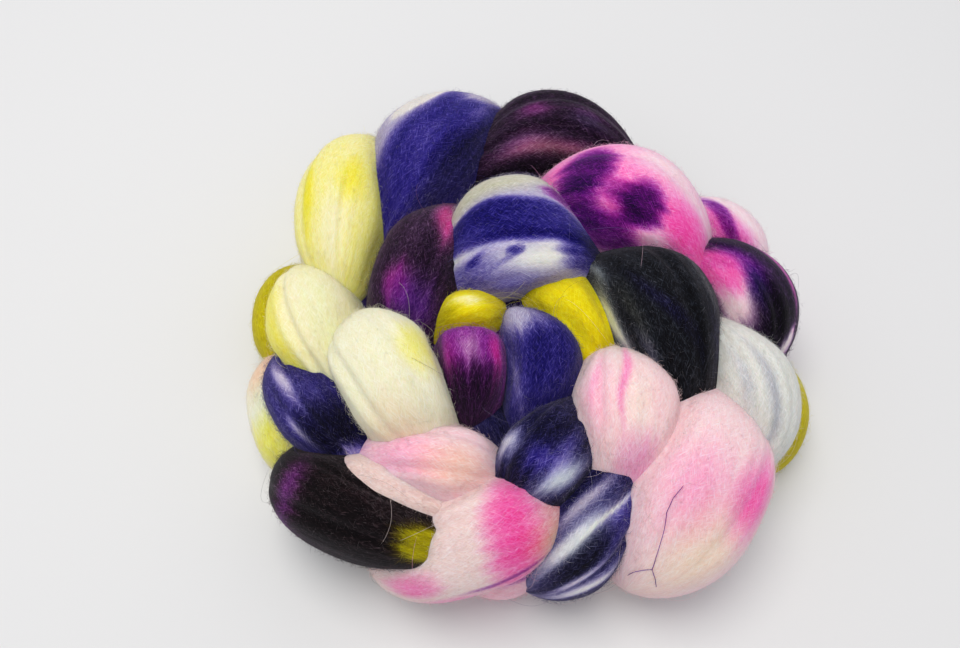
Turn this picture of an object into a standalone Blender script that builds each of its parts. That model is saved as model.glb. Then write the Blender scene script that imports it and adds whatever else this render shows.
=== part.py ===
"""A braid of combed wool top, wound flat into a coil.

One long, thick strand of unspun wool is chained by hand into a plump braid, and the braid is
wound round itself into a coil that lies flat. Each turn of the strand bulges out of the braid
as a fat loop whose ends are tucked under its neighbours. The loops press against each other,
so the whole coil is one body with a crease wherever two loops meet.

The origin is the middle of the coil's footprint, on the surface that it lies on. +Z is up, and
-Y is the side that is looked at. The tables are in millimetres and degrees.
"""

import math
from typing import NamedTuple

import bmesh
import bpy
from mathutils import Matrix, Vector

MM = 0.001

# How finely a loop is faceted: faces round it, and rings from tip to tip.
LOOP_SIDES = 16
LOOP_RINGS = 12

# A loop's outline from tip to tip: 2 is an ellipse, and more is blunter.
OUTLINE_POWER = 2.5
# Its cross-section: 2 is round, and more is squarer, as wool is where it is pressed.
SECTION_POWER = 2.2

# The underside is flattened by the surface that the coil lies on.
CUT_MARGIN = 40 * MM

COIL_RADIUS = 105 * MM

# The hidden crossings inside the braid, as one lens that every loop is rooted in.
CORE_RADIUS = 78 * MM
CORE_DEPTH = 34 * MM
CORE_HEIGHT = 28 * MM
CORE_PLACE = (-1 * MM, -6 * MM)

# Corners closer together than this, where three loops nearly meet, become one.
CREASE_MERGE = 0.25 * MM

WOOL_COLOUR = (0.82, 0.72, 0.66, 1.0)
WOOL_ROUGHNESS = 0.95


class Loop(NamedTuple):
    """One bulge of the strand."""

    name: str
    x: float  # middle of the loop
    y: float
    z: float
    heading: float  # direction of its tips, anticlockwise from +X
    pitch: float  # how far its head is lifted above its tail
    lean: float  # how far its back tips outwards, away from the middle of the coil
    length: float
    width: float
    depth: float
    bow: float  # how far its middle swells to the left of its heading
    droop: float  # how far its tips hang below its middle
    fullest: float  # where it is fattest, from -1 at its tail to 1 at its head


# The loops of the upper face, in the order that the braid brings them round.
UPPER_LOOPS = (
    # name              x    y   z  head pitch lean len wid dep bow droop full
    Loop("outer_01", -67, 45, 40, -97, 4, 22, 90, 40, 46, -1, 12, -0.05),
    Loop("outer_02", -36, 67, 40, 58, 0, 20, 98, 53, 46, 2, 14, 0.1),
    Loop("outer_03", 11, 70, 39, 2, 0, 24, 88, 43, 46, 12, 12, 0.1),
    Loop("outer_04", 80, 35, 24, -49, 0, 30, 58, 34, 38, 4, 8, 0.0),
    Loop("outer_05", 81, 2, 35, -62, 0, 30, 66, 36, 42, 4, 10, 0.0),
    Loop("outer_06", 74, -38, 36, -82, 0, 30, 68, 37, 44, 4, 10, 0.0),
    Loop("outer_07", 56, -69, 36, -119, 0, 20, 82, 50, 50, 0, 12, 0.0),
    Loop("outer_08", 23, -76, 31, -129, 0, 24, 74, 40, 42, 0, 8, 0.0),
    Loop("outer_09", -20, -85, 31, 18, 0, 24, 78, 40, 46, 0, 10, 0.1),
    Loop("outer_10", -56, -76, 33, -24, 10, 24, 80, 36, 46, 0, 8, -0.15),
    Loop("outer_11", -72, -41, 31, -52, 0, 24, 72, 36, 44, 0, 8, 0.0),
    Loop("outer_12", -75, -10, 36, -68, 0, 26, 74, 38, 44, 0, 10, 0.0),
    Loop("inner_01", -37, 13, 39, 72, 0, 0, 76, 43, 44, 0, 8, 0.0),
    Loop("inner_02", -2, 19, 47, 10, 0, 0, 70, 53, 46, 4, 12, 0.0),
    Loop("inner_03", 38, 34, 47, -23, 0, 0, 82, 50, 46, 4, 14, 0.0),
    Loop("inner_04", 46, -16, 44, -68, 0, 0, 84, 45, 46, 5, 12, -0.2),
    Loop("inner_05", 33, -47, 44, -96, 0, 0, 62, 43, 44, 0, 12, 0.0),
    Loop("inner_06", 8, -60, 40, -130, 0, 0, 56, 36, 42, 0, 8, 0.0),
    Loop("inner_07", -33, -64, 38, -8, 0, 0, 60, 34, 42, 0, 8, 0.0),
    Loop("inner_08", -48, -35, 46, -57, 0, 0, 70, 40, 46, 0, 12, 0.0),
    Loop("inner_09", -46, -74, 36, -19, 0, 0, 64, 28, 38, 0, 8, 0.0),
    Loop("inner_10", -9, 48, 28, 15, 0, 0, 66, 36, 42, 0, 8, 0.0),
    Loop("centre_01", 17, -6, 38, -57, 0, 0, 64, 34, 38, 0, 6, 0.0),
    Loop("centre_02", 2, -28, 42, -88, 0, 0, 54, 34, 40, 4, 8, 0.0),
    Loop("centre_03", -21, -8, 39, 20, 0, 0, 36, 26, 36, 0, 6, 0.0),
    Loop("centre_04", -20, -33, 46, -88, 0, 0, 37, 31, 36, 0, 6, -0.2),
    Loop("centre_05", -14, -48, 32, -60, 0, 0, 36, 24, 32, 0, 4, 0.0),
    Loop("rim_01", -86, -36, 20, -73, 0, 20, 60, 34, 36, 0, 6, 0.0),
    Loop("rim_02", 89, 12, 18, -82, 0, 20, 60, 30, 34, 0, 6, 0.0),
    Loop("rim_03", -89, 3, 20, -85, 0, 20, 58, 34, 36, 0, 6, 0.0),
    Loop("rim_04", 89, -31, 18, -82, 0, 20, 56, 36, 34, 0, 6, 0.0),
)


class Ring(NamedTuple):
    """A ring of loops on the underside, which the braid's back makes evenly."""

    name: str
    count: int
    x: float  # middle of the ring
    y: float
    radius: float
    first: float  # the clock angle of its first loop
    slant: float  # how far each loop turns in from the direction that the braid runs in
    length: float
    width: float
    depth: float
    z: float


UNDER_RINGS = (
    # name       count x   y  rad first slant len wid dep z
    Ring("under_outer", 10, 1, -4, 74, 12, 24, 66, 44, 40, 18),
    Ring("under_inner", 6, -1, -6, 42, 30, 24, 58, 42, 40, 18),
    Ring("under_centre", 3, -3, -8, 15, 60, 24, 44, 32, 40, 18),
)


def under_loops():
    """The loops of the underside, spaced round their rings."""
    loops = []
    for ring in UNDER_RINGS:
        for number in range(ring.count):
            clock = ring.first + 360 * number / ring.count
            angle = math.radians(clock)
            loops.append(
                Loop(
                    name=f"{ring.name}_{number + 1:02d}",
                    x=ring.x + ring.radius * math.cos(angle),
                    y=ring.y + ring.radius * math.sin(angle),
                    z=ring.z,
                    heading=clock - 90 + ring.slant,
                    pitch=0,
                    lean=0,
                    length=ring.length,
                    width=ring.width,
                    depth=ring.depth,
                    bow=4,
                    droop=0,
                    fullest=0,
                )
            )
    return loops


def signed_power(value, power):
    return math.copysign(abs(value) ** power, value)


def loop_point(loop, along, across, up):
    """The place, in the loop's own frame, of a point on a unit sphere whose poles are the loop's tips."""
    round_about = math.hypot(across, up)
    side = across / round_about if round_about > 1e-6 else 0.0
    top = up / round_about if round_about > 1e-6 else 0.0
    swell = (1 - abs(along) ** OUTLINE_POWER) ** 0.5 if abs(along) < 1 else 0.0
    shifted = along + loop.fullest * (1 - along * along)
    return Vector(
        (
            loop.length / 2 * shifted,
            loop.width / 2 * swell * signed_power(side, 2 / SECTION_POWER)
            + loop.bow * (1 - 2 * along * along),
            loop.depth / 2 * swell * signed_power(top, 2 / SECTION_POWER)
            - loop.droop * along * along,
        )
    )


def loop_frame(loop):
    """Turns the loop to its heading, leans it outwards and sets it in its place."""
    outwards = math.atan2(loop.y, loop.x)
    round_the_coil = Vector((-math.sin(outwards), math.cos(outwards), 0))
    lean = Matrix.Rotation(math.radians(loop.lean), 4, round_the_coil)
    turn = Matrix.Rotation(math.radians(loop.heading), 4, "Z")
    lift = Matrix.Rotation(math.radians(-loop.pitch), 4, "Y")
    place = Matrix.Translation((loop.x, loop.y, loop.z))
    return Matrix.Scale(MM, 4) @ place @ lean @ turn @ lift


def object_of(name, mesh):
    made = bpy.data.objects.new(name, mesh)
    bpy.context.scene.collection.objects.link(made)
    return made


def make_loop(loop):
    """A plump closed loop: a sphere with its poles at the tips, drawn out and bent."""
    shape = bmesh.new()
    bmesh.ops.create_uvsphere(shape, u_segments=LOOP_SIDES, v_segments=LOOP_RINGS, radius=1)
    for vertex in shape.verts:
        across, up, along = vertex.co
        vertex.co = loop_point(loop, along, across, up)
    bmesh.ops.transform(shape, matrix=loop_frame(loop), verts=shape.verts)
    bmesh.ops.recalc_face_normals(shape, faces=shape.faces)
    mesh = bpy.data.meshes.new(loop.name)
    shape.to_mesh(mesh)
    shape.free()
    return object_of(loop.name, mesh)


def make_core():
    """The lens of hidden crossings that joins the loops inside the coil."""
    shape = bmesh.new()
    bmesh.ops.create_uvsphere(shape, u_segments=24, v_segments=8, radius=1)
    bmesh.ops.scale(shape, vec=(CORE_RADIUS, CORE_RADIUS, CORE_DEPTH / 2), verts=shape.verts)
    bmesh.ops.translate(shape, vec=(*CORE_PLACE, CORE_HEIGHT), verts=shape.verts)
    mesh = bpy.data.meshes.new("core")
    shape.to_mesh(mesh)
    shape.free()
    return object_of("core", mesh)


def make_room_above():
    """The space above the surface, which the coil is trimmed to."""
    reach = COIL_RADIUS + CUT_MARGIN
    shape = bmesh.new()
    bmesh.ops.create_cube(shape, size=1)
    bmesh.ops.scale(shape, vec=(2 * reach, 2 * reach, reach), verts=shape.verts)
    bmesh.ops.translate(shape, vec=(0, 0, reach / 2), verts=shape.verts)
    mesh = bpy.data.meshes.new("room_above")
    shape.to_mesh(mesh)
    shape.free()
    return object_of("room_above", mesh)


def hide_as_cutter(made):
    made.hide_render = True
    made.display_type = "WIRE"


def apply_boolean(base, operation, name, **operand):
    """Adds one Boolean to the base and keeps its result as the base's own mesh."""
    boolean = base.modifiers.new(name, "BOOLEAN")
    boolean.operation = operation
    boolean.solver = "EXACT"
    for key, value in operand.items():
        setattr(boolean, key, value)
    bpy.context.view_layer.update()
    evaluated = base.evaluated_get(bpy.context.evaluated_depsgraph_get())
    solid = bpy.data.meshes.new_from_object(evaluated)
    base.modifiers.clear()
    base.data = solid


def press_together(base, others):
    """Unites the loops with the core."""
    pressed = bpy.data.collections.new("pressed_together")
    bpy.context.scene.collection.children.link(pressed)
    for other in others:
        bpy.context.scene.collection.objects.unlink(other)
        pressed.objects.link(other)
        hide_as_cutter(other)
    apply_boolean(base, "UNION", "press_together", operand_type="COLLECTION", collection=pressed)
    for other in others:
        bpy.data.objects.remove(other)
    bpy.data.collections.remove(pressed)


def flatten_underside(base, room):
    """Trims what reaches below the surface, which leaves a flat spot under each lower loop."""
    hide_as_cutter(room)
    apply_boolean(base, "INTERSECT", "flat_underside", object=room)
    bpy.data.objects.remove(room)


def keep_outer_shell(made):
    """Drops the small sealed pockets between the loops, which are full of wool."""
    shape = bmesh.new()
    shape.from_mesh(made.data)
    left = set(shape.verts)
    shells = []
    while left:
        seen = {left.pop()}
        edge_of_seen = list(seen)
        while edge_of_seen:
            vertex = edge_of_seen.pop()
            for edge in vertex.link_edges:
                other = edge.other_vert(vertex)
                if other not in seen:
                    seen.add(other)
                    edge_of_seen.append(other)
        left -= seen
        shells.append(seen)
    outer = max(shells, key=len)
    inside = [vertex for shell in shells if shell is not outer for vertex in shell]
    bmesh.ops.delete(shape, geom=inside, context="VERTS")
    shape.to_mesh(made.data)
    shape.free()


def tidy_creases(made):
    """Takes the slivers out of the creases, where the loops' faces cross at all angles."""
    shape = bmesh.new()
    shape.from_mesh(made.data)
    bmesh.ops.triangulate(shape, faces=shape.faces)
    bmesh.ops.remove_doubles(shape, verts=shape.verts, dist=CREASE_MERGE)
    bmesh.ops.dissolve_degenerate(shape, dist=CREASE_MERGE / 2, edges=shape.edges)
    bmesh.ops.triangulate(shape, faces=shape.faces)
    shape.to_mesh(made.data)
    shape.free()


def centre_footprint(made):
    """Puts the middle of the coil's footprint on the origin, with its flat spots on the surface."""
    places = [vertex.co for vertex in made.data.vertices]
    middle = [
        (min(place[axis] for place in places) + max(place[axis] for place in places)) / 2
        for axis in (0, 1)
    ]
    lowest = min(place.z for place in places)
    made.data.transform(Matrix.Translation((-middle[0], -middle[1], -lowest)))


def wool():
    """Unspun wool, as the eye sums up its many dyes."""
    material = bpy.data.materials.new("combed_wool")
    material.use_nodes = True
    shader = material.node_tree.nodes["Principled BSDF"]
    shader.inputs["Base Color"].default_value = WOOL_COLOUR
    shader.inputs["Roughness"].default_value = WOOL_ROUGHNESS
    shader.inputs["Metallic"].default_value = 0.0
    return material


def main():
    for old in list(bpy.data.objects):
        bpy.data.objects.remove(old)
    loops = [*UPPER_LOOPS, *under_loops()]
    coil = make_core()
    press_together(coil, [make_loop(loop) for loop in loops])
    keep_outer_shell(coil)
    tidy_creases(coil)
    flatten_underside(coil, make_room_above())
    centre_footprint(coil)
    coil.name = "braided_coil"
    coil.data.name = "braided_coil"
    coil.data.materials.clear()
    coil.data.materials.append(wool())
    coil.data.shade_smooth()
    coil.data.set_sharp_from_angle(angle=math.radians(35))


main()
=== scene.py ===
"""A braid of hand-dyed combed wool top, wound flat into a coil.

One thick strand of unspun wool is chained by hand into a plump braid, which is wound round itself
into a coil and sold that way to spinners and felters. The loops that bulge out of the braid are
what the eye sees, so each is modelled as a form of its own, pressed by its neighbours.

The sections follow the coil as it is wound and dyed: the outer round of loops, the inner turn, the
middle, the low loops and the underside, the crossings inside and the loose fibres. The camera, the
floor and the light come last. Tables are in millimetres and degrees; meshes are in metres.
"""

import math
from typing import NamedTuple

import bpy
import numpy as np
from mathutils import Matrix, Vector


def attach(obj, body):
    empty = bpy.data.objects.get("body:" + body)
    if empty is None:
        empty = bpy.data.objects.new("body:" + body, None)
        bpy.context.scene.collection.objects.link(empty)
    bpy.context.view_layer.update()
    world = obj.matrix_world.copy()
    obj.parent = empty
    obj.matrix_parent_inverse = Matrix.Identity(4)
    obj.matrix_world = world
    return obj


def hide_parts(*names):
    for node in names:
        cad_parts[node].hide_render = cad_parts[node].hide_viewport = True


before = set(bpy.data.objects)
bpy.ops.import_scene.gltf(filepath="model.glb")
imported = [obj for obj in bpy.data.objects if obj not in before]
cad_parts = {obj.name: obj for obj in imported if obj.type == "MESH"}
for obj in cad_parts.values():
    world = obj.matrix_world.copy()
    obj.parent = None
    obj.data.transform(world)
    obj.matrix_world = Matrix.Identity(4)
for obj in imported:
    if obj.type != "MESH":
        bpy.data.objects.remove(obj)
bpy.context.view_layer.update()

# --------------------------------------------------------------------------------------------
# The outer round of loops. The real ones are turns of a strand of combed merino about as thick as
# a wrist, crocheted by hand without a hook. Nothing holds them but the next loop, so each bulges
# out freely and is pinched at both tips, and their backs lean outwards over the edge of the coil.

MM = 0.001


class Loop(NamedTuple):
    """One bulge of the strand."""

    name: str
    x: float  # middle of the loop
    y: float
    z: float
    heading: float  # direction of its tips, anticlockwise from +X
    pitch: float  # how far its head is lifted above its tail
    lean: float  # how far its back tips outwards, away from the middle of the coil
    length: float
    width: float
    depth: float
    bow: float  # how far its middle swells to the left of its heading
    droop: float  # how far its tips hang below its middle
    fullest: float = 0.0  # where it is fattest, from -1 at its tail to 1 at its head


OUTER_ROUND = (
    # name              x    y   z  head pitch lean len wid dep bow droop full
    Loop("outer_01", -67, 45, 40, -97, 4, 22, 90, 40, 46, -1, 12, -0.05),
    Loop("outer_02", -36, 67, 40, 58, 0, 20, 98, 53, 46, 2, 14, 0.1),
    Loop("outer_03", 11, 70, 39, 2, 0, 24, 88, 43, 46, 12, 12, 0.1),
    Loop("outer_04", 80, 35, 24, -49, 0, 30, 58, 34, 38, 4, 8),
    Loop("outer_05", 81, 2, 35, -62, 0, 30, 66, 36, 42, 4, 10),
    Loop("outer_06", 74, -38, 36, -82, 0, 30, 68, 37, 44, 4, 10),
    Loop("outer_07", 56, -69, 36, -119, 0, 20, 82, 50, 50, 0, 12),
    Loop("outer_08", 23, -76, 31, -129, 0, 24, 74, 40, 42, 0, 8),
    Loop("outer_09", -20, -85, 31, 18, 0, 24, 78, 40, 46, 0, 10, 0.1),
    Loop("outer_10", -56, -76, 33, -24, 10, 24, 80, 36, 46, 0, 8, -0.15),
    Loop("outer_11", -72, -41, 31, -52, 0, 24, 72, 36, 44, 0, 8),
    Loop("outer_12", -75, -10, 36, -68, 0, 26, 74, 38, 44, 0, 10),
)
# A loop is pressed by the loops of every other turn, so their sizes are wanted here as well.
INNER_TURN = (
    Loop("inner_01", -37, 13, 39, 72, 0, 0, 76, 43, 44, 0, 8),
    Loop("inner_02", -2, 19, 47, 10, 0, 0, 70, 53, 46, 4, 12),
    Loop("inner_03", 38, 34, 47, -23, 0, 0, 82, 50, 46, 4, 14),
    Loop("inner_04", 46, -16, 44, -68, 0, 0, 84, 45, 46, 5, 12, -0.2),
    Loop("inner_05", 33, -47, 44, -96, 0, 0, 62, 43, 44, 0, 12),
    Loop("inner_06", 8, -60, 40, -130, 0, 0, 56, 36, 42, 0, 8),
    Loop("inner_07", -33, -64, 38, -8, 0, 0, 60, 34, 42, 0, 8),
    Loop("inner_08", -48, -35, 46, -57, 0, 0, 70, 40, 46, 0, 12),
    Loop("inner_09", -46, -74, 36, -19, 0, 0, 64, 28, 38, 0, 8),
    Loop("inner_10", -9, 48, 28, 15, 0, 0, 66, 36, 42, 0, 8),
)
MIDDLE = (
    Loop("centre_01", 17, -6, 38, -57, 0, 0, 64, 34, 38, 0, 6),
    Loop("centre_02", 2, -28, 42, -88, 0, 0, 54, 34, 40, 4, 8),
    Loop("centre_03", -21, -8, 39, 20, 0, 0, 36, 26, 36, 0, 6),
    Loop("centre_04", -20, -33, 46, -88, 0, 0, 37, 31, 36, 0, 6, -0.2),
    Loop("centre_05", -14, -48, 32, -60, 0, 0, 36, 24, 32, 0, 4),
)
LOW_LOOPS = (
    Loop("rim_01", -86, -36, 20, -73, 0, 20, 60, 34, 36, 0, 6),
    Loop("rim_02", 89, 12, 18, -82, 0, 20, 60, 30, 34, 0, 6),
    Loop("rim_03", -89, 3, 20, -85, 0, 20, 58, 34, 36, 0, 6),
    Loop("rim_04", 89, -31, 18, -82, 0, 20, 56, 36, 34, 0, 6),
)


BACK_BOW = 4


def ring_of_loops(name, count, x, y, radius, first, slant, length, width, depth, z):
    """Loops of the underside, which the braid's back makes evenly."""
    loops = []
    for number in range(count):
        clock = first + 360 * number / count
        angle = math.radians(clock)
        middle = (x + radius * math.cos(angle), y + radius * math.sin(angle), z)
        heading = clock - 90 + slant
        size = (length, width, depth)
        loops.append(Loop(f"{name}_{number + 1:02d}", *middle, heading, 0, 0, *size, BACK_BOW, 0))
    return loops


UNDERSIDE = (
    # name                   count x   y  rad first slant len wid dep z
    *ring_of_loops("under_outer", 10, 1, -4, 74, 12, 24, 66, 44, 40, 18),
    *ring_of_loops("under_inner", 6, -1, -6, 42, 30, 24, 58, 42, 40, 18),
    *ring_of_loops("under_centre", 3, -3, -8, 15, 60, 24, 44, 32, 40, 18),
)
WHOLE_BRAID = (*OUTER_ROUND, *INNER_TURN, *MIDDLE, *LOW_LOOPS, *UNDERSIDE)

# A loop's outline from tip to tip: 2 is an ellipse, and more is blunter. Its cross-section: 2 is
# round, and more is squarer, as wool is where it is pressed.
OUTLINE_POWER = 2.5
SECTION_POWER = 2.2

# The middle of the tables is this far from the middle of the footprint, which is the origin.
FOOTPRINT_SHIFT = np.array((-0.43, -0.34, 0.0))


def signed_power(values, power):
    return np.sign(values) * np.abs(values) ** power


def smooth_step(start, end, values):
    share = np.clip((values - start) / (end - start), 0, 1)
    return share * share * (3 - 2 * share)


def plumpness(along):
    """How much of its full girth a loop has, from 0 at its tips to 1 at its middle."""
    return np.sqrt(np.clip(1 - np.abs(along) ** OUTLINE_POWER, 0, 1))


def form_of_loop(loop, along, around, raised):
    """Places on a loop in its own frame, in mm. Along runs from -1 at its tail to 1 at its head,
    around is the angle to the left of its back, and raised is how far wool stands proud there."""
    plump = plumpness(along)
    side, top = np.sin(around), np.cos(around)
    return np.stack(
        (
            loop.length / 2 * (along + loop.fullest * (1 - along**2)),
            loop.width / 2 * plump * signed_power(side, 2 / SECTION_POWER)
            + loop.bow * (1 - 2 * along**2)
            + raised * side,
            loop.depth / 2 * plump * signed_power(top, 2 / SECTION_POWER)
            - loop.droop * along**2
            + raised * top,
        ),
        axis=-1,
    )


def frame_of_loop(loop):
    """Turns the loop to its heading, leans it outwards and sets it in its place, in mm."""
    outwards = math.atan2(loop.y, loop.x)
    round_the_coil = Vector((-math.sin(outwards), math.cos(outwards), 0))
    lean = Matrix.Rotation(math.radians(loop.lean), 3, round_the_coil)
    turn = Matrix.Rotation(math.radians(loop.heading), 3, "Z")
    lift = Matrix.Rotation(math.radians(-loop.pitch), 3, "Y")
    turned = np.array(lean @ turn @ lift)
    return turned, np.array((loop.x, loop.y, loop.z)) + FOOTPRINT_SHIFT


def fullness_at(loop, own_places):
    """Below 1 inside the loop and above 1 outside it, for places in its own frame."""
    ahead = own_places[:, 0] / (loop.length / 2)
    along = np.clip(ahead - loop.fullest * (1 - np.clip(ahead, -1, 1) ** 2), -1.5, 1.5)
    across = np.abs(own_places[:, 1] - loop.bow * (1 - 2 * along**2)) / (loop.width / 2)
    up = np.abs(own_places[:, 2] + loop.droop * along**2) / (loop.depth / 2)
    section = (across**SECTION_POWER + up**SECTION_POWER) ** (2 / SECTION_POWER)
    return np.abs(along) ** OUTLINE_POWER + section


def clearance(loop, places):
    """About how far places are outside a loop, in mm, and below 0 inside it."""
    turned, middle = frame_of_loop(loop)
    own = (places - middle) @ turned
    here = fullness_at(loop, own)
    probe = 0.5
    slope = np.stack([(fullness_at(loop, own + probe * axis) - here) / probe for axis in np.eye(3)])
    return (here - 1) / np.maximum(np.linalg.norm(slope, axis=0), 1e-3)


# Where two loops press on each other, both sink into a crease, and its lips are rounded.
CREASE_REACH = 8.0
CREASE_SINK = 2.2


def press(loop, places, inwards):
    """Sinks a loop's surface beside its neighbours. Returns the places, and how clear of all the
    other loops each one is, in mm."""
    middle = places.mean(axis=0)
    clear = np.full(len(places), np.inf)
    proud = np.ones(len(places))
    for other in WHOLE_BRAID:
        if other is loop:
            continue
        apart = np.linalg.norm(frame_of_loop(other)[1] - middle)
        if apart < (loop.length + other.length) / 2 + CREASE_REACH:
            gap = clearance(other, places)
            clear = np.minimum(clear, gap)
            proud *= 1 - np.clip(1 - gap / CREASE_REACH, 0, 1) ** 2
    pressed = places + inwards * (CREASE_SINK * (1 - proud))[:, None]
    pressed[:, 2] = np.maximum(pressed[:, 2], 0)
    return pressed, clear


class Fold(NamedTuple):
    """A long soft crease where two locks of the strand part. It runs along the fibres."""

    around: float
    depth: float
    width: float
    start: float
    end: float
    drift: float = 0.0  # how many degrees it wanders from the loop's tail to its head


def wrapped(angle):
    return (angle + math.pi) % math.tau - math.pi


# The lips beside a fold: their height and distance as shares of its depth and width, how far each
# spreads, and how much of the loop a fold takes to fade out at its ends.
LIP_HEIGHT = 0.35
LIP_DISTANCE = 2
LIP_SPREAD = 1.2
FOLD_FADE = 0.15


def mean_radius(loop):
    return (loop.width + loop.depth) / 4


def folded(loop, folds, along, around):
    """How far the surface is raised by its folds, in mm: each is a groove between soft lips."""
    girth = mean_radius(loop)
    raised = np.zeros_like(along)
    for fold in folds:
        line = math.radians(fold.around) + math.radians(fold.drift) * along / 2
        beside = wrapped(around - line) * girth / fold.width
        lips = LIP_HEIGHT * np.exp(-((np.abs(beside) - LIP_DISTANCE) ** 2) / LIP_SPREAD)
        groove = -np.exp(-(beside**2)) + lips
        ends = smooth_step(fold.start - FOLD_FADE, fold.start + FOLD_FADE, along)
        ends = ends * (1 - smooth_step(fold.end - FOLD_FADE, fold.end + FOLD_FADE, along))
        raised += fold.depth * groove * ends
    return raised


# The swellings of a strand: how many go round the loop, and how many half waves along it.
SWELLINGS = ((1, 1.0), (2, 0.6), (2, 1.7), (3, 1.2), (4, 0.5), (6, 0.9), (9, 0.7))
ANY_ANGLE = (0, 6.3)


def lumpy(draw, along, around, height):
    """Gentle swellings where the strand is thicker, which close up smoothly round the loop."""
    raised = np.zeros_like(along)
    for turns, waves in SWELLINGS:
        size = draw.uniform(0.4, 1.0) / turns
        raised += size * np.cos(turns * around + waves * math.pi * along + draw.uniform(*ANY_ANGLE))
    return raised * height


DYES = ("yellow", "pink", "violet", "navy", "black", "mint")


class Splash(NamedTuple):
    """How much of each dye a loop takes up, all over it or in one blotch. Less than nothing is
    where the blotch stays paler than the rest."""

    along: float = 0.0
    around: float = 0.0
    long: float = 0.0  # half its length along the fibres; 0 is all over the loop
    wide: float = 0.0  # half its width across them
    soft: float = 0.5  # how far it bleeds, from a crisp edge at 0 to 1
    yellow: float = 0.0
    pink: float = 0.0
    violet: float = 0.0
    navy: float = 0.0
    black: float = 0.0
    mint: float = 0.0
    slant: float = 0.0  # how many degrees it climbs round the loop over half the loop's length


# Dye runs further along some locks than others, so a blotch ends in ragged streaks, this long. The
# numbers of locks are how many lie round the loop, from broad ones to fine.
STREAK_REACH = 0.8
LOCKS_ROUND = (5, 9, 14, 22, 31, 43)
LOCK_WANDER = 0.6
SWAY = 0.8  # how far a blotch's sides wave
SMALL_SWAY = 0.5
THIN_TIP = 0.05  # a loop's tip is taken to be at least this plump, so that blotches keep a width
UNEVEN_DYE = 0.10
STREAKY_DYE = 0.03
# Each loop has its own stretch of the fibre pattern, this far from the last one's.
LOOP_SPACING = 200


def dyed(loop, splashes, draw, along, around):
    """How much of each dye every place on a loop holds."""
    girth = mean_radius(loop) * np.sqrt(np.maximum(plumpness(along), THIN_TIP))
    streaks = np.zeros_like(along)
    for locks in LOCKS_ROUND:
        wander = LOCK_WANDER * np.sin(draw.uniform(1, 3) * along + draw.uniform(*ANY_ANGLE))
        streaks += np.cos(locks * (around + 0.06 * wander) + draw.uniform(*ANY_ANGLE))
    streaks *= STREAK_REACH / math.sqrt(len(LOCKS_ROUND) / 2)
    sway = SWAY * np.sin(4 * along + draw.uniform(*ANY_ANGLE)) + SMALL_SWAY * np.sin(9 * along + 1)
    amounts = np.zeros((len(along), len(DYES)))
    for splash in splashes:
        cover = np.ones_like(along)
        if splash.long:
            line = math.radians(splash.around) + math.radians(splash.slant) * (along - splash.along)
            ahead = (along - splash.along) * loop.length / 2 + streaks
            beside = wrapped(around - line) * girth + sway
            reach = np.hypot(ahead / splash.long, beside / splash.wide)
            cover = 1 - smooth_step(1 - splash.soft, 1 + splash.soft, reach)
        amounts += cover[:, None] * np.array([getattr(splash, dye) for dye in DYES])
    uneven = 1 + UNEVEN_DYE * lumpy(draw, along, around, 1.0) + STREAKY_DYE * streaks
    return np.clip(amounts * uneven[:, None], 0, None)


# One ball is made and copied for every loop. Its poles become the loop's pinched tips.
BALL_SIDES = 112
BALL_RINGS = 54
BACK_SHARE = 0.3  # how much closer its faces lie on a loop's back, which is the side that shows
SWELLING_HEIGHT = 0.55
BAKE_MARGIN = 0.015  # the empty edge of each loop's square in a bake map
# Each loop also has a few faint folds, drawn from these ranges.
FAINT_FOLDS = 5
FAINT_AROUND = (-100, 100)
FAINT_DEPTH = (0.1, 0.4)
FAINT_WIDTH = (1.2, 2.8)
FAINT_START = (-1, 0.4)
FAINT_LENGTH = (0.3, 1.1)
FAINT_DRIFT = (-14, 14)
LOOP_SEED = 11


def add_ball(sides, rings):
    bpy.ops.object.select_all(action="DESELECT")
    bpy.ops.mesh.primitive_uv_sphere_add(segments=sides, ring_count=rings, radius=1)
    ball = bpy.context.object
    ball.data.shade_smooth()
    ball.data.uv_layers[0].name = "OFBake"
    return ball


def corners_of(mesh):
    corners = np.zeros(len(mesh.vertices) * 3)
    mesh.vertices.foreach_get("co", corners)
    return corners.reshape(-1, 3)


fine_ball = add_ball(BALL_SIDES, BALL_RINGS)

showing = []  # the faces of every loop, for the loose fibres that stand on them
NO_AREA = 1e-12  # square metres: a face this small has no direction


def faces_of(ball):
    """The corners of each face, a triangle's last one twice. Blender lists a new ball's faces in
    another order each time, and the fibres are strewn by that order, so it is sorted."""
    faces = []
    for face in ball.data.polygons:
        corners = list(face.vertices)
        lowest = corners.index(min(corners))
        corners = corners[lowest:] + corners[:lowest]
        faces.append((*corners, corners[-1])[:4])
    return np.array(sorted(faces))


def hold_dyes(mesh, fibre_run, amounts):
    """Keeps on a mesh where each place lies among the fibres, in mm, and the dye that it holds."""
    held = {"fibre_run": fibre_run, "dye_warm": amounts[:, 0:3], "dye_cool": amounts[:, 3:6]}
    for name, values in held.items():
        kept = mesh.attributes.new(name, "FLOAT_VECTOR", "POINT")
        kept.data.foreach_set("vector", values.astype(np.float32).ravel())


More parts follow.
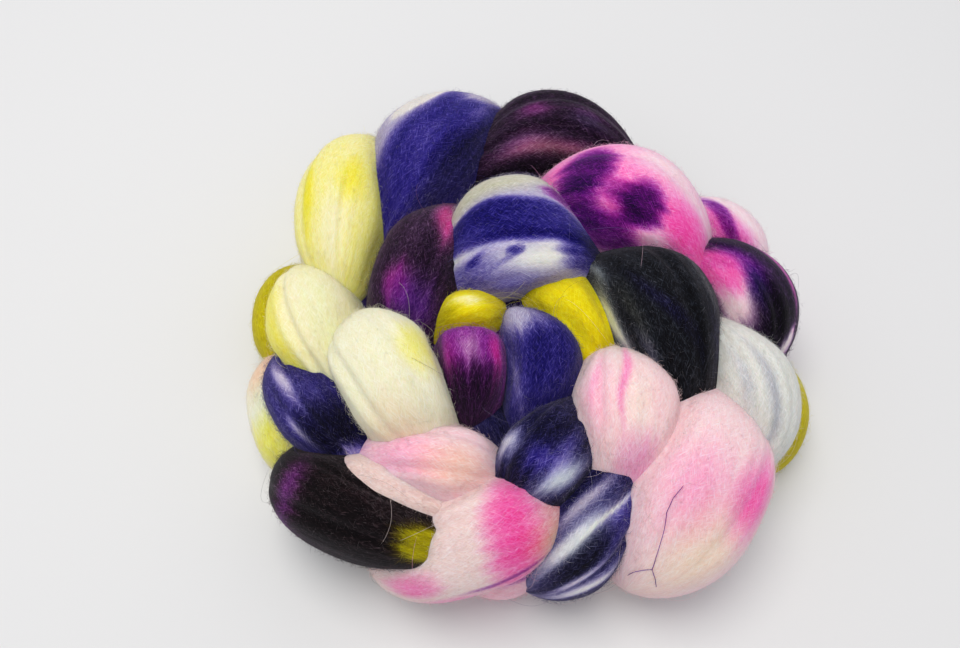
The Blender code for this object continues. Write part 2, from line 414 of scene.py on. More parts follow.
def wind_loop(loop, ball, folds, splashes, cell, cells):
    """One loop from a copy of the ball. Cell is its square in the joined piece's bake map."""
    mesh = ball.data.copy()
    draw = np.random.default_rng([LOOP_SEED, WHOLE_BRAID.index(loop)])
    across, up, along = corners_of(mesh).T
    around = np.arctan2(across, up)
    around = around - BACK_SHARE * np.sin(around)
    plump = plumpness(along)

    own_folds = list(folds.get(loop.name, ()))
    for _ in range(FAINT_FOLDS):
        line = [draw.uniform(*each) for each in (FAINT_AROUND, FAINT_DEPTH, FAINT_WIDTH)]
        start = draw.uniform(*FAINT_START)
        end = start + draw.uniform(*FAINT_LENGTH)
        own_folds.append(Fold(*line, start, end, draw.uniform(*FAINT_DRIFT)))
    raised = folded(loop, own_folds, along, around)
    raised += lumpy(draw, along, around, SWELLING_HEIGHT)
    turned, middle = frame_of_loop(loop)
    places = form_of_loop(loop, along, around, raised * plump**2) @ turned.T + middle
    towards_core = np.stack((0 * along, -np.sin(around), -np.cos(around)), axis=-1)
    inwards = (towards_core * np.minimum(plump, 1)[:, None]) @ turned.T
    places, clear = press(loop, places, inwards)
    mesh.vertices.foreach_set("co", (places * MM).ravel())

    girth = mean_radius(loop)
    fibre_run = np.stack(
        (
            girth * np.cos(around),
            girth * np.sin(around),
            loop.length / 2 * along + LOOP_SPACING * WHOLE_BRAID.index(loop),
        ),
        axis=-1,
    )
    amounts = dyed(loop, splashes[loop.name], draw, along, around)
    hold_dyes(mesh, fibre_run, amounts)

    uv = mesh.uv_layers["OFBake"]
    flat = np.zeros(len(mesh.loops) * 2, np.float32)
    uv.data.foreach_get("uv", flat)
    row, column = divmod(cell, cells)
    square = flat.reshape(-1, 2) * (1 - 2 * BAKE_MARGIN) + BAKE_MARGIN
    square = (square + (column, row)) / cells
    uv.data.foreach_set("uv", square.astype(np.float32).ravel())

    made = bpy.data.objects.new(loop.name, mesh)
    bpy.context.scene.collection.objects.link(made)

    faces = faces_of(ball)
    first = faces[:, 0]
    a, b, c, d = (places[faces[:, corner]] * MM for corner in range(4))
    facing = np.cross(c - a, d - b) / 2
    area = np.linalg.norm(facing, axis=1, keepdims=True)
    showing.append(
        {
            "clear": clear[first],
            "dye": amounts[first],
            "run": fibre_run[first],
            "center": (a + b + c + d) / 4,
            "normal": facing / np.maximum(area, NO_AREA),
            "area": area,
            "heading": np.tile(turned[:, 0], (len(faces), 1)),
        }
    )
    return made


def lay_together(name, loops, ball, folds, splashes):
    """The loops of one turn, as one piece. Their tips are hidden under each other."""
    cells = math.ceil(math.sqrt(len(loops)))
    turns = [
        wind_loop(loop, ball, folds, splashes, cell, cells) for cell, loop in enumerate(loops)
    ]
    bpy.ops.object.select_all(action="DESELECT")
    for turn in turns:
        turn.select_set(True)
    bpy.context.view_layer.objects.active = turns[0]
    bpy.ops.object.join()
    piece = bpy.context.object
    piece.name = name
    piece.data.name = name
    piece.data.materials.clear()
    piece.data.materials.append(combed_wool)
    return piece


# Combed merino top, dyed by pouring acid dyes on it by hand. The fibres lie side by side, so it is
# matt with a silky nap: fine streaks run along each loop, its edges look frosted where the fibres
# are seen end on, and where two dyes meet one shows through the other.


def linear(code):
    """An sRGB hex colour as linear light."""
    shares = [int(code[place : place + 2], 16) / 255 for place in (1, 3, 5)]
    return [s / 12.92 if s <= 0.04045 else ((s + 0.055) / 1.055) ** 2.4 for s in shares]


UNDYED = "#F4ECE3"
FULLY_DYED = {
    "yellow": "#E6D30A",
    "pink": "#F64EAA",
    "violet": "#5A1A7A",
    "navy": "#2A2177",
    "black": "#1C201F",
    "mint": "#C2E8E2",
}
# Real fibres are 0.02 mm thick. They're drawn in locks this wide and long, so that they show, and
# the locks lie in layers that cross at a few degrees, as combed fibres do once they're handled.
LOCK_WIDTH = 0.40
LOCK_LENGTH = 2.4
LAYER_TURNS = (0.10, -0.45, 0.75)
TUFT_WIDTH = 2.6
TUFT_LENGTH = 34.0
MEAN_RADIUS = 21
DYE_EVENNESS = (0.78, 1.22)  # how much less and more dye than its share a lock can take
STREAK_RANGE = (0.6, 1.4)
LOCK_RANGE = (0.46, 0.72)
# Painted shade in the gaps between locks and painted light on the locks on top, as powers of the
# dyed colour.
GAP_PAINTED_SHADE = 1.3  # the colour of the gaps and of the top locks, as powers of the dyed colour
LOCK_PAINTED_LIGHT = 0.55
TUFT_RELIEF = 1.4  # how high a tuft stands beside a lock
RELIEF_HEIGHT = 0.32
RELIEF_STRENGTH = 0.7


def add_node(kind, inputs, **settings):
    """One node of the wool, with its settings. An input is a value, or a socket to link to it."""
    node = tree.nodes.new("ShaderNode" + kind)
    for name, value in settings.items():
        setattr(node, name, value)
    for key, value in inputs.items():
        if isinstance(value, bpy.types.NodeSocket):
            tree.links.new(value, node.inputs[key])
        else:
            node.inputs[key].default_value = value
    return node


combed_wool = bpy.data.materials.new("combed_merino_top")
combed_wool.use_nodes = True
tree = combed_wool.node_tree
surface = tree.nodes["Principled BSDF"]

run = add_node("Attribute", {}, attribute_name="fibre_run").outputs["Vector"]
place_along = add_node("SeparateXYZ", {0: run}).outputs["Z"]


def grain(width, length, detail, roughness, turn=0.0):
    """Noise drawn out along the fibres, which wind round the loop by so much for each length."""
    angle = add_node("Math", {0: place_along, 1: turn / MEAN_RADIUS}, operation="MULTIPLY")
    wound_round = add_node(
        "VectorRotate", {"Vector": run, "Angle": angle.outputs[0]}, rotation_type="Z_AXIS"
    )
    size = (1 / width, 1 / width, 1 / length)
    scaled = add_node("VectorMath", {0: wound_round.outputs[0], 1: size}, operation="MULTIPLY")
    noise = add_node(
        "TexNoise",
        {"Vector": scaled.outputs[0], "Scale": 1.0, "Detail": detail, "Roughness": roughness},
    )
    return noise.outputs["Fac"]


layers = [grain(LOCK_WIDTH, LOCK_LENGTH, 2.0, 0.6, turn) for turn in LAYER_TURNS]
upper = add_node("Math", {0: layers[0], 1: layers[1]}, operation="MAXIMUM").outputs[0]
locks = add_node("Math", {0: upper, 1: layers[2]}, operation="MAXIMUM").outputs[0]
tufts = grain(TUFT_WIDTH, TUFT_LENGTH, 2.0, 0.5)
streaks = add_node("Math", {0: layers[0], 1: tufts}, operation="ADD").outputs[0]
# The two noises add up to about 1, so this is how much more or less dye a lock took.
ends = ("From Min", "From Max", "To Min", "To Max")
spread = dict(zip(ends, (*STREAK_RANGE, *DYE_EVENNESS)))
uptake = add_node("MapRange", {"Value": streaks, **spread}).outputs[0]

colour = (*linear(UNDYED), 1)
amounts = {}
for attribute, names in (("dye_warm", DYES[0:3]), ("dye_cool", DYES[3:6])):
    held = add_node("Attribute", {}, attribute_name=attribute)
    split = add_node("SeparateXYZ", {0: held.outputs["Vector"]})
    amounts.update(zip(names, split.outputs))
for name in DYES:
    taken = add_node("Math", {0: amounts[name], 1: uptake}, operation="MULTIPLY").outputs[0]
    passed = [a / b for a, b in zip(linear(FULLY_DYED[name]), linear(UNDYED))]
    filtered = add_node("Gamma", {"Color": (*passed, 1), "Gamma": taken}).outputs[0]
    colour = add_node(
        "Mix", {"Factor": 1.0, 6: colour, 7: filtered}, data_type="RGBA", blend_type="MULTIPLY"
    ).outputs[2]

# Painted light and shade over the fine locks: the colour is made lighter on the locks that lie on
# top, where light would come back through them, and darker in the gaps between them, where shade
# would fall.
spread = dict(zip(ends, (*LOCK_RANGE, GAP_PAINTED_SHADE, LOCK_PAINTED_LIGHT)))
painted_lock_light = add_node("MapRange", {"Value": locks, **spread}).outputs[0]
colour = add_node("Gamma", {"Color": colour, "Gamma": painted_lock_light}).outputs[0]
tree.links.new(colour, surface.inputs["Base Color"])

relief = add_node("Math", {0: tufts, 1: TUFT_RELIEF, 2: locks}, operation="MULTIPLY_ADD")
height = relief.outputs[0]
bump = add_node(
    "Bump", {"Strength": RELIEF_STRENGTH, "Distance": RELIEF_HEIGHT * MM, "Height": height}
)
tree.links.new(bump.outputs[0], surface.inputs["Normal"])
for setting, value in (
    ("Roughness", 0.9),
    ("Specular IOR Level", 0.08),
    ("Subsurface Weight", 0.3),
    ("Subsurface Radius", (1.0, 0.6, 0.4)),
    ("Subsurface Scale", 4 * MM),
    ("Sheen Weight", 0.12),
    ("Sheen Roughness", 0.5),
    ("Sheen Tint", (*linear("#E9E4EE"), 1)),
):
    surface.inputs[setting].default_value = value

OUTER_FOLDS = {
    # around depth width start end drift
    "outer_01": [Fold(26, 1.5, 1.6, 0.2, 1.0), Fold(-30, 0.8, 3.0, -0.6, 0.9, -8)],
    "outer_02": [Fold(-16, 0.8, 2.6, -0.9, 0.5, 16), Fold(-42, 0.7, 2.2, -0.4, 0.9, -10)],
    "outer_03": [Fold(-48, 1.3, 1.8, -0.9, 0.7, -14), Fold(-6, 0.8, 2.2, -0.5, 0.9, -12)],
    "outer_05": [Fold(-24, 0.8, 1.8, -0.8, 0.6, 8)],
    "outer_06": [Fold(-6, 0.7, 1.8, -0.6, 0.8, 8), Fold(-34, 0.6, 1.8, -0.8, 0.5, 8)],
    "outer_07": [Fold(-24, 1.0, 1.4, 0.2, 0.9, 16), Fold(24, 0.7, 3.0, -0.8, 0.6, -14)],
    "outer_08": [Fold(1, 1.1, 1.6, -0.7, 0.9, -10), Fold(30, 0.9, 1.6, -0.4, 0.9, -10)],
    "outer_09": [Fold(24, 0.8, 2.2, -0.9, 0.4, 12)],
    "outer_10": [Fold(-14, 0.8, 2.4, -0.8, 0.9, 10)],
    "outer_11": [Fold(6, 0.9, 1.6, -0.7, 0.6, -10)],
    "outer_12": [Fold(-3, 1.8, 1.5, -0.9, 0.9, 6)],
}
OUTER_SPLASHES = {
    "outer_01": [
        Splash(yellow=0.17, mint=0.04),
        Splash(0.35, -22, 14, 3.0, 0.9, yellow=0.3),
        Splash(0.2, 30, 8, 5, 0.9, yellow=0.26),
        Splash(0.62, 14, 12, 5, 0.9, yellow=-0.08),
        Splash(0, 80, 44, 9, 0.8, yellow=0.12, mint=0.08),
    ],
    "outer_02": [
        Splash(navy=1.08),
        Splash(-0.05, 30, 32, 13, 0.35, navy=-0.92, black=0.05),
        Splash(0.2, 18, 16, 6, 0.4, navy=-0.6),
        Splash(-0.3, -62, 24, 7, 0.9, black=0.36),
        Splash(0.62, -16, 13, 7, 0.5, navy=-0.92, black=0.05),
        Splash(0.4, -38, 10, 1.8, 0.8, navy=-0.4),
        Splash(-0.25, -22, 11, 5, 0.9, navy=-0.26),
        Splash(0.15, -38, 9, 4, 0.9, navy=-0.26),
        Splash(-0.49, -57, 8, 5, 0.9, navy=-0.16),
    ],
    "outer_03": [
        Splash(violet=0.6, black=0.7, yellow=0.06),
        Splash(0.0, -69, 18, 4, 0.9, black=-0.4, violet=-0.15, yellow=0.08),
        Splash(0.23, -33, 7, 4, 0.9, black=-0.25, navy=0.25, violet=-0.25),
        Splash(-0.24, -22, 6, 4, 0.9, black=-0.58, pink=0.25),
        Splash(-0.36, -60, 11, 5, 0.9, black=-0.5, violet=-0.1, pink=0.06),
        Splash(0.18, -64, 9, 3, 0.9, black=-0.34, pink=0.06),
        Splash(0.25, -20, 8, 3, 0.9, black=-0.28),
    ],
    "outer_04": [
        Splash(pink=0.1, mint=0.06),
        Splash(-0.18, -26, 13, 3.2, 0.45, violet=0.7, slant=-40),
        Splash(0, -42, 15, 7, 0.9, pink=0.68, violet=0.1),
    ],
    "outer_05": [
        Splash(violet=0.7, black=0.68),
        Splash(-0.46, -58, 12, 10, 0.5, pink=0.75, violet=-0.62, black=-0.68),
        Splash(0.06, -66, 11, 8, 0.6, pink=0.1, violet=-0.7, black=-0.68),
        Splash(-0.03, -33, 7, 3, 0.9, navy=0.5, black=-0.2),
        Splash(0.42, -20, 11, 7, 0.8, black=0.6),
        Splash(-0.3, -22, 11, 4, 0.9, black=-0.5, violet=0.25),
        Splash(0.68, 4, 4.5, 4, 0.6, violet=-0.65, black=-0.9, mint=0.1),
        Splash(-0.1, 18, 19, 2.0, 0.6, pink=0.6, violet=-0.5, black=-0.6, slant=-14),
    ],
    "outer_06": [
        Splash(mint=0.14, black=0.045),
        Splash(-0.19, -40, 10, 2, 0.9, navy=0.04, black=0.025),
        Splash(-0.2, -16, 11, 2.2, 0.9, navy=0.04, black=0.025),
        Splash(0.26, -10, 12, 2, 0.9, navy=0.04, black=0.03),
    ],
    "outer_07": [
        Splash(pink=0.12, yellow=0.015),
        Splash(-0.04, 31, 11, 7, 1.0, pink=0.5),
        Splash(0.14, -16, 13, 9, 0.9, pink=0.15),
        Splash(0.57, 14, 14, 10, 0.9, yellow=0.035, pink=-0.05),
    ],
    "outer_08": [
        Splash(navy=0.72, black=0.38),
        Splash(0.36, -9, 20, 4.2, 0.8, navy=-0.68, black=-0.38, mint=0.25, slant=-9),
        Splash(0.05, -27, 15, 2.6, 0.8, navy=-0.6, black=-0.34, slant=-12),
        Splash(0.5, -48, 12, 3, 0.8, navy=-0.35, black=-0.3),
        Splash(0.6, 22, 10, 1.5, 0.8, navy=-0.6, black=-0.45),
        Splash(-0.03, 12, 9, 4, 0.8, black=-0.3),
        Splash(0.42, 8, 12, 3, 0.7, black=0.5),
        Splash(-0.2, 0, 12, 0.8, 0.8, navy=-0.4, black=-0.25, slant=-10),
        Splash(0.0, 28, 10, 0.9, 0.8, navy=-0.35, black=-0.25, slant=-10),
        Splash(0.6, 39, 14, 2.6, 0.8, navy=-0.68, black=-0.44, mint=0.1, slant=-10),
    ],
    "outer_09": [
        Splash(pink=0.08, yellow=0.02, black=0.02),
        Splash(0.35, -6, 9, 18, 0.9, pink=0.82, slant=110),
        Splash(0.15, -50, 12, 1.3, 0.6, violet=0.45),
        Splash(0.6, -30, 7, 8, 0.9, yellow=0.08, pink=0.08),
        Splash(0.86, 0, 6, 9, 0.9, pink=0.3, yellow=0.06),
        Splash(-0.6, -28, 7, 5, 0.8, pink=0.45),
        Splash(-0.33, -63, 9, 3, 0.9, pink=0.3),
    ],
    "outer_10": [
        Splash(violet=0.45, black=1.1, yellow=0.2),
        Splash(-0.32, -6, 6.5, 14, 0.8, black=-0.85, violet=0.1, pink=0.3, yellow=-0.2),
        Splash(-0.2, -52, 11, 6, 0.9, black=-0.55, violet=0.15, yellow=-0.1),
        Splash(0.17, 22, 12, 3, 0.9, black=-0.2),
        Splash(0.84, 0, 8, 10, 0.35, yellow=1.25, violet=-0.5, black=-0.88),
        Splash(0.43, 52, 13, 3, 0.4, violet=-0.45, black=-1, pink=0.09, yellow=-0.16),
    ],
    "outer_11": [
        Splash(navy=0.95, black=0.15),
        Splash(-0.35, 0, 11, 2.3, 0.9, navy=-0.78, black=-0.15),
        Splash(0.2, -16, 7, 1.6, 0.7, navy=-0.7, black=-0.15),
        Splash(-0.04, 14, 8, 4, 0.9, navy=-0.15),
        Splash(0.42, 12, 9, 9, 0.8, black=0.62),
        Splash(0.72, 16, 5, 6, 0.6, navy=-0.6, black=-0.6),
    ],
    "outer_12": [
        Splash(yellow=0.08, mint=0.04),
        Splash(0, -30, 30, 6, 0.5, yellow=0.26),
        Splash(0.1, 30, 20, 6, 0.9, mint=0.1),
    ],
}

outer_round = lay_together(
    "outer_round_of_loops", OUTER_ROUND, fine_ball, OUTER_FOLDS, OUTER_SPLASHES
)
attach(outer_round, "root")
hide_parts("braided_coil")

# --------------------------------------------------------------------------------------------
# The inner turn. It is the same strand one turn further in, where the braid is held on both sides,
# so its loops stand up straighter and crowd over each other. Nothing fixes them but the winding.

INNER_FOLDS = {
    "inner_01": [Fold(-12, 0.9, 2.0, -0.8, 0.8, 10)],
    "inner_02": [Fold(-22, 1.5, 1.5, -0.8, 0.6, -12), Fold(18, 0.6, 2.2, -0.8, 0.8, -10)],
    "inner_03": [Fold(-36, 0.9, 2.2, -0.9, 0.4, 12), Fold(20, 0.7, 2.8, -0.6, 0.9, -8)],
    "inner_04": [Fold(-24, 1.0, 1.8, -0.8, 0.8, 14), Fold(12, 0.8, 2.0, -0.6, 0.9, -8)],
    "inner_05": [Fold(-5, 1.0, 1.4, -0.9, 0.5, 6), Fold(-26, 1.1, 1.5, -0.7, 0.3, 8)],
    "inner_06": [Fold(6, 1.0, 1.6, -0.8, 0.8, 8), Fold(-28, 0.8, 1.6, -0.4, 0.8, 8)],
    "inner_07": [Fold(-20, 0.9, 2.0, -0.7, 0.9, 8), Fold(24, 0.7, 2.4, -0.7, 0.7, -8)],
    "inner_08": [Fold(-40, 1.0, 2.2, -0.7, 0.7, 8), Fold(14, 0.6, 2.6, -0.6, 0.9, -8)],
    "inner_09": [Fold(5, 0.7, 1.5, 0.1, 0.8, 4)],
}
INNER_SPLASHES = {
    "inner_01": [
        Splash(violet=0.6, black=0.6, yellow=0.06),
        Splash(0.4, -8, 12, 4.2, 0.7, pink=0.8, violet=-0.36, black=-0.6, slant=24),
        Splash(-0.4, 14, 7, 5, 0.8, pink=0.45, black=-0.54),
        Splash(-0.58, -12, 9, 11, 0.9, black=-0.5, violet=0.1, navy=0.12, yellow=-0.06),
    ],
    "inner_02": [
        Splash(navy=0.22, mint=0.1),
        Splash(-0.2, 38, 28, 8, 0.6, navy=-0.18, yellow=0.06, black=0.08),
        Splash(0.14, -42, 16, 7, 0.8, navy=-0.22, mint=0.04),
        Splash(-0.05, -6, 38, 7, 0.25, navy=1.0, slant=-13),
        Splash(0.66, -36, 9, 8, 0.6, navy=0.95),
        Splash(-0.54, -29, 2.2, 1.6, 0.7, navy=0.7),
        Splash(-0.11, -31, 2.6, 1.2, 0.7, navy=0.7),
        Splash(-0.22, -38, 4, 0.9, 0.9, navy=0.3, slant=30),
        Splash(-0.64, -42, 8, 7, 0.8, navy=0.32),
        Splash(-0.33, -62, 17, 6, 0.8, navy=0.24),
        Splash(-0.7, -12, 8, 5, 0.9, navy=-0.3),
        Splash(0.8, -30, 5, 6, 0.7, navy=0.2, black=0.12),
        Splash(0.6, 18, 8, 5, 0.4, violet=0.8, pink=0.3, navy=-0.2),
    ],
    "inner_03": [
        Splash(pink=0.3),
        Splash(-0.42, 0, 8.5, 9.5, 0.5, violet=1.3),
        Splash(-0.44, -32, 8, 8, 0.5, violet=1.0),
        Splash(0.18, -20, 7, 7.5, 0.5, violet=1.2),
        Splash(-0.06, -59, 11, 8, 0.5, violet=1.1),
        Splash(-0.3, -50, 8, 5, 0.6, violet=0.7),
        Splash(-0.04, -19, 6, 4, 0.8, violet=0.6),
        Splash(0.1, -36, 4, 4, 0.8, violet=0.5),
        Splash(-0.36, -2, 14, 14, 0.8, pink=0.24),
        Splash(0.2, -22, 13, 12, 0.8, pink=0.34),
        Splash(-0.1, -50, 12, 8, 0.8, pink=0.15),
        Splash(-0.76, 6, 6, 8, 0.8, pink=0.3),
        Splash(0.68, -15, 9, 8, 0.8, pink=0.62),
        Splash(0.28, 24, 18, 9, 0.9, pink=-0.2),
        Splash(0.36, -40, 6, 5, 0.8, pink=-0.3),
    ],
    "inner_04": [
        Splash(navy=0.2, black=1.15),
        Splash(-0.5, -42, 10, 2.6, 0.8, navy=-0.15, black=-0.85, mint=0.3),
        Splash(-0.14, -58, 13, 4.2, 0.8, black=-0.86, navy=-0.1, yellow=0.08, mint=0.2),
        Splash(0.22, -64, 13, 4.2, 0.8, black=-0.87, navy=-0.12, mint=0.2),
        Splash(0.05, -33, 10, 2.6, 0.9, black=-0.35, yellow=0.1),
        Splash(0.42, -38, 6, 3, 0.8, black=-0.6),
        Splash(0.2, -4, 14, 2.2, 0.9, navy=0.6, black=-0.4, slant=40),
        Splash(0.5, 34, 7, 3, 0.9, navy=0.5, black=-0.4),
        Splash(0.1, 44, 14, 3, 0.8, black=-0.6, yellow=0.06),
        Splash(-0.4, 46, 9, 2, 0.9, black=-0.35),
    ],
    "inner_05": [
        Splash(pink=0.11, yellow=0.02),
        Splash(-0.85, 0, 6, 13, 0.8, pink=-0.06),
        Splash(-0.24, -5, 14, 1.0, 0.9, pink=0.36),
        Splash(-0.15, -31, 8, 0.9, 0.9, pink=0.12),
        Splash(-0.05, -30, 12, 5, 0.9, pink=0.12),
        Splash(0.16, 8, 9, 4, 0.9, pink=-0.05),
        Splash(0.7, 13, 7, 7, 0.9, pink=0.12, violet=0.05),
    ],
    "inner_06": [
        Splash(navy=0.85, black=0.55),
        Splash(0.38, -41, 6, 6, 0.9, navy=-0.76, black=-0.55, mint=0.2),
        Splash(0.32, 32, 12, 4.8, 0.9, navy=-0.78, black=-0.53, mint=0.35, slant=-23),
        Splash(0.32, -3, 5, 3.5, 0.9, black=-0.55),
        Splash(0.1, 14, 9, 3.4, 0.9, navy=-0.25, black=-0.45),
    ],
    "inner_07": [
        Splash(pink=0.13, yellow=0.015),
        Splash(-0.3, -8, 12, 7, 0.9, pink=0.12),
        Splash(0.3, -12, 10, 7, 0.9, pink=0.03, yellow=0.06),
        Splash(-0.92, 0, 5, 10, 0.8, violet=0.12),
        Splash(0.95, 0, 4, 10, 0.8, violet=0.15),
    ],
    "inner_08": [
        Splash(yellow=0.05, mint=0.1),
        Splash(0.05, 34, 8, 6, 0.9, yellow=0.2),
        Splash(0.65, -30, 10, 9, 0.9, yellow=0.03, pink=0.06),
    ],
    "inner_09": [
        Splash(pink=0.09, yellow=0.03, black=0.03),
        Splash(-0.85, 0, 7, 9, 0.8, violet=0.16),
    ],
    "inner_10": [Splash(violet=0.4, navy=0.3, black=0.6)],
}

inner_turn = lay_together("inner_turn_of_loops", INNER_TURN, fine_ball, INNER_FOLDS, INNER_SPLASHES)
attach(inner_turn, "root")
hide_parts("braided_coil")

# --------------------------------------------------------------------------------------------
# The middle of the coil, where the braid starts. The strand's first few loops are smaller and are
# wound tightest, with the strand's end tucked under them.

MIDDLE_FOLDS = {
    "centre_01": [Fold(-20, 0.35, 2.2, -0.8, 0.8, 8), Fold(20, 0.3, 2.4, -0.8, 0.8, -8)],
    "centre_02": [Fold(-14, 0.6, 1.8, -0.4, 0.8, 8), Fold(-26, -3.2, 6.0, -1.0, -0.5)],
    "centre_03": [Fold(-6, 0.5, 1.6, -0.8, 0.8, 8)],
    "centre_04": [Fold(10, 0.8, 1.6, -0.7, 0.9, 8)],
}
MIDDLE_SPLASHES = {
    "centre_01": [
        Splash(yellow=1.0),
        Splash(-0.25, -44, 12, 5, 0.8, yellow=0.4, black=0.1),
        Splash(0.85, 0, 6, 10, 0.8, yellow=0.4, black=0.12),
        Splash(0.1, 50, 14, 6, 0.9, black=0.08),
    ],
    "centre_02": [
        Splash(navy=1.1, black=0.07),
        Splash(-0.55, -27, 9, 10, 0.6, navy=-0.9, mint=0.05),
        Splash(0.3, -40, 14, 5, 0.9, navy=-0.36, slant=35),
        Splash(0.36, -36, 12, 1.8, 0.9, navy=-0.3, slant=45),
    ],
    "centre_03": [
        Splash(yellow=1.0),
        Splash(0.0, 2, 6, 2.8, 0.7, yellow=-0.8),
        Splash(-0.6, -10, 5, 7, 0.8, yellow=0.3, black=0.12),
    ],
    "centre_04": [
        Splash(pink=0.45, violet=0.75),
        # A painted highlight: less violet and pink with a little black, so the middle of the loop
        # is a lighter grey where the window light falls on it.
        Splash(0.02, 2, 6, 4, 0.9, violet=-0.5, pink=-0.28, black=0.08),
        Splash(0.1, 34, 8, 2.8, 0.8, pink=0.5, violet=-0.45),
        Splash(0.25, -32, 7, 4, 0.9, pink=0.3, violet=-0.25),
        Splash(0.78, 0, 7, 13, 0.8, black=0.7),
        Splash(0.3, -58, 9, 4, 0.8, black=0.4),
        Splash(0, -58, 12, 5, 0.8, black=0.3),
    ],
    "centre_05": [
        Splash(navy=0.7, black=0.4),
        Splash(-0.4, -20, 4, 4, 0.6, navy=-0.7, black=-0.4, pink=0.2, yellow=0.1),
    ],
}

middle_loops = lay_together("middle_loops", MIDDLE, fine_ball, MIDDLE_FOLDS, MIDDLE_SPLASHES)
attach(middle_loops, "root")
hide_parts("braided_coil")

# --------------------------------------------------------------------------------------------
# The low loops and the underside: the braid's back, which shows under the outer round and carries
# the coil. Its loops are flattened where they lie on the table, and are dyed like the rest.

BALL_SIDES_BELOW = 64
BALL_RINGS_BELOW = 36

plain_ball = add_ball(BALL_SIDES_BELOW, BALL_RINGS_BELOW)

LOW_SPLASHES = {
    "rim_01": [
        Splash(yellow=0.04, mint=0.05),
        Splash(-0.6, 0, 9, 14, 0.9, pink=0.13, yellow=0.05),
        Splash(0, -14, 8, 7, 0.9, mint=0.15),
        Splash(0.46, -22, 8, 9, 0.9, yellow=0.3, mint=0.1),
    ],
    "rim_02": [Splash(pink=0.4, violet=0.45)],
    "rim_03": [
        Splash(yellow=1.1, black=0.1),
        Splash(0.2, 70, 20, 9, 0.6, yellow=-1, violet=0.35, black=0.1),
    ],
    "rim_04": [Splash(yellow=1.2, black=0.1)],
}
# The strand is dyed from end to end with the same few pours, so the back repeats them.
BACK_POURS = (
    dict(pink=0.12, yellow=0.03),
    dict(navy=0.95),
    dict(yellow=1.1, black=0.06),
    dict(violet=0.5, black=0.6),
    dict(yellow=0.05, mint=0.08),
    dict(pink=0.5),
    dict(navy=0.4, black=0.7),
    dict(mint=0.25),
)
NEXT_POUR = 3  # how many pours further on the next loop is
POUR_BEYOND = 4
BLOTCHES = 3
BLOTCH_SHARE = 0.8  # how much of the other pour's dye a blotch holds
BLOTCH_SOFTNESS = 0.6
POUR_SEED = 5
pour = np.random.default_rng(POUR_SEED)
for number, loop in enumerate(UNDERSIDE):
    here, beyond = (
        BACK_POURS[(NEXT_POUR * number + further) % len(BACK_POURS)]
        for further in (0, POUR_BEYOND)
    )
    LOW_SPLASHES[loop.name] = [Splash(**here)]
    for _ in range(BLOTCHES):
        change = {dye: BLOTCH_SHARE * (beyond.get(dye, 0) - here.get(dye, 0)) for dye in DYES}
        at = (pour.uniform(-0.9, 0.9), pour.uniform(-180, 180))
        size = (pour.uniform(6, 14), pour.uniform(4, 10))
        LOW_SPLASHES[loop.name].append(Splash(*at, *size, BLOTCH_SOFTNESS, **change))
# One of them shows under the front of the outer round, and is pale with a violet edge.
LOW_SPLASHES["under_outer_08"] = [
    Splash(pink=0.2, yellow=0.02),
    Splash(0.14, 56, 12, 3, 0.6, violet=0.5),
]

low_loops = lay_together("low_loops", (*LOW_LOOPS, *UNDERSIDE), plain_ball, {}, LOW_SPLASHES)
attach(low_loops, "root")
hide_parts("braided_coil")

for ball in (fine_ball, plain_ball):
    bpy.data.objects.remove(ball)

# --------------------------------------------------------------------------------------------
# The crossings inside the braid, where each loop passes under the next. They're the same wool,
# packed tight by the winding, and show only as a dark floor at the bottom of the deepest creases.
# They're dyed only in the strand's dark pours, partly the strand's own dyes and partly painted
# shade at the bottom of those creases.

CROSSINGS_PLACE = (-1, -6, 28)
CROSSINGS_RADIUS = 77
CROSSINGS_DEPTH = 33
CROSSINGS_SIDES = 96
CROSSINGS_RINGS = 48
CROSSINGS_IN_A_TURN = 11
CROSSINGS_WIND = 5
CROSSINGS_RISE = 1.2

crossings = add_ball(CROSSINGS_SIDES, CROSSINGS_RINGS)
crossings.name = "crossings_inside"
packed = crossings.data
corners = corners_of(packed)
clock = np.arctan2(corners[:, 1], corners[:, 0])
outwards = np.hypot(corners[:, 0], corners[:, 1])
over_and_under = np.cos(CROSSINGS_IN_A_TURN * clock + CROSSINGS_WIND * outwards)
over_and_under = CROSSINGS_RISE * over_and_under * np.sin(math.pi * outwards)
places = corners * (CROSSINGS_RADIUS, CROSSINGS_RADIUS, CROSSINGS_DEPTH / 2)
places[:, 2] += over_and_under * np.sign(corners[:, 2])
places += np.array(CROSSINGS_PLACE) + FOOTPRINT_SHIFT
packed.vertices.foreach_set("co", (places * MM).ravel())
# Violet, navy and black all over: partly the strand's dark dyes, partly painted shade.
deep_dye_and_painted_shade = np.zeros((len(places), len(DYES)))
deep_dye_and_painted_shade[:, DYES.index("violet")] = 0.5 + 0.2 * np.cos(3 * clock)
deep_dye_and_painted_shade[:, DYES.index("navy")] = 0.4 + 0.3 * np.cos(2 * clock + 1)
deep_dye_and_painted_shade[:, DYES.index("black")] = 0.4
hold_dyes(packed, places, deep_dye_and_painted_shade)
packed.materials.append(combed_wool)
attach(crossings, "root")

# --------------------------------------------------------------------------------------------
# The loose fibres. Combing leaves the strand's fibre ends free, so a nap of them stands out of it
# and a few long ones stray over their neighbours. They're held only by the wool around them.

FIBRE_THICKNESS = 0.08  # real ones are 0.02 mm, which is too fine to show
NAP_FIBRES = 84000
NAP_PIECES = 3
HIDDEN = 0.4  # a face closer than this to another loop is in a crease, and holds no fibre
UNDERNEATH = 1.5  # nor does one this low, which lies on the table
CREASE_EDGE = 4  # within this of another loop, fibres stand thicker and longer
MORE_BY_A_CREASE = 2
LONGER_BY_A_CREASE = 0.2

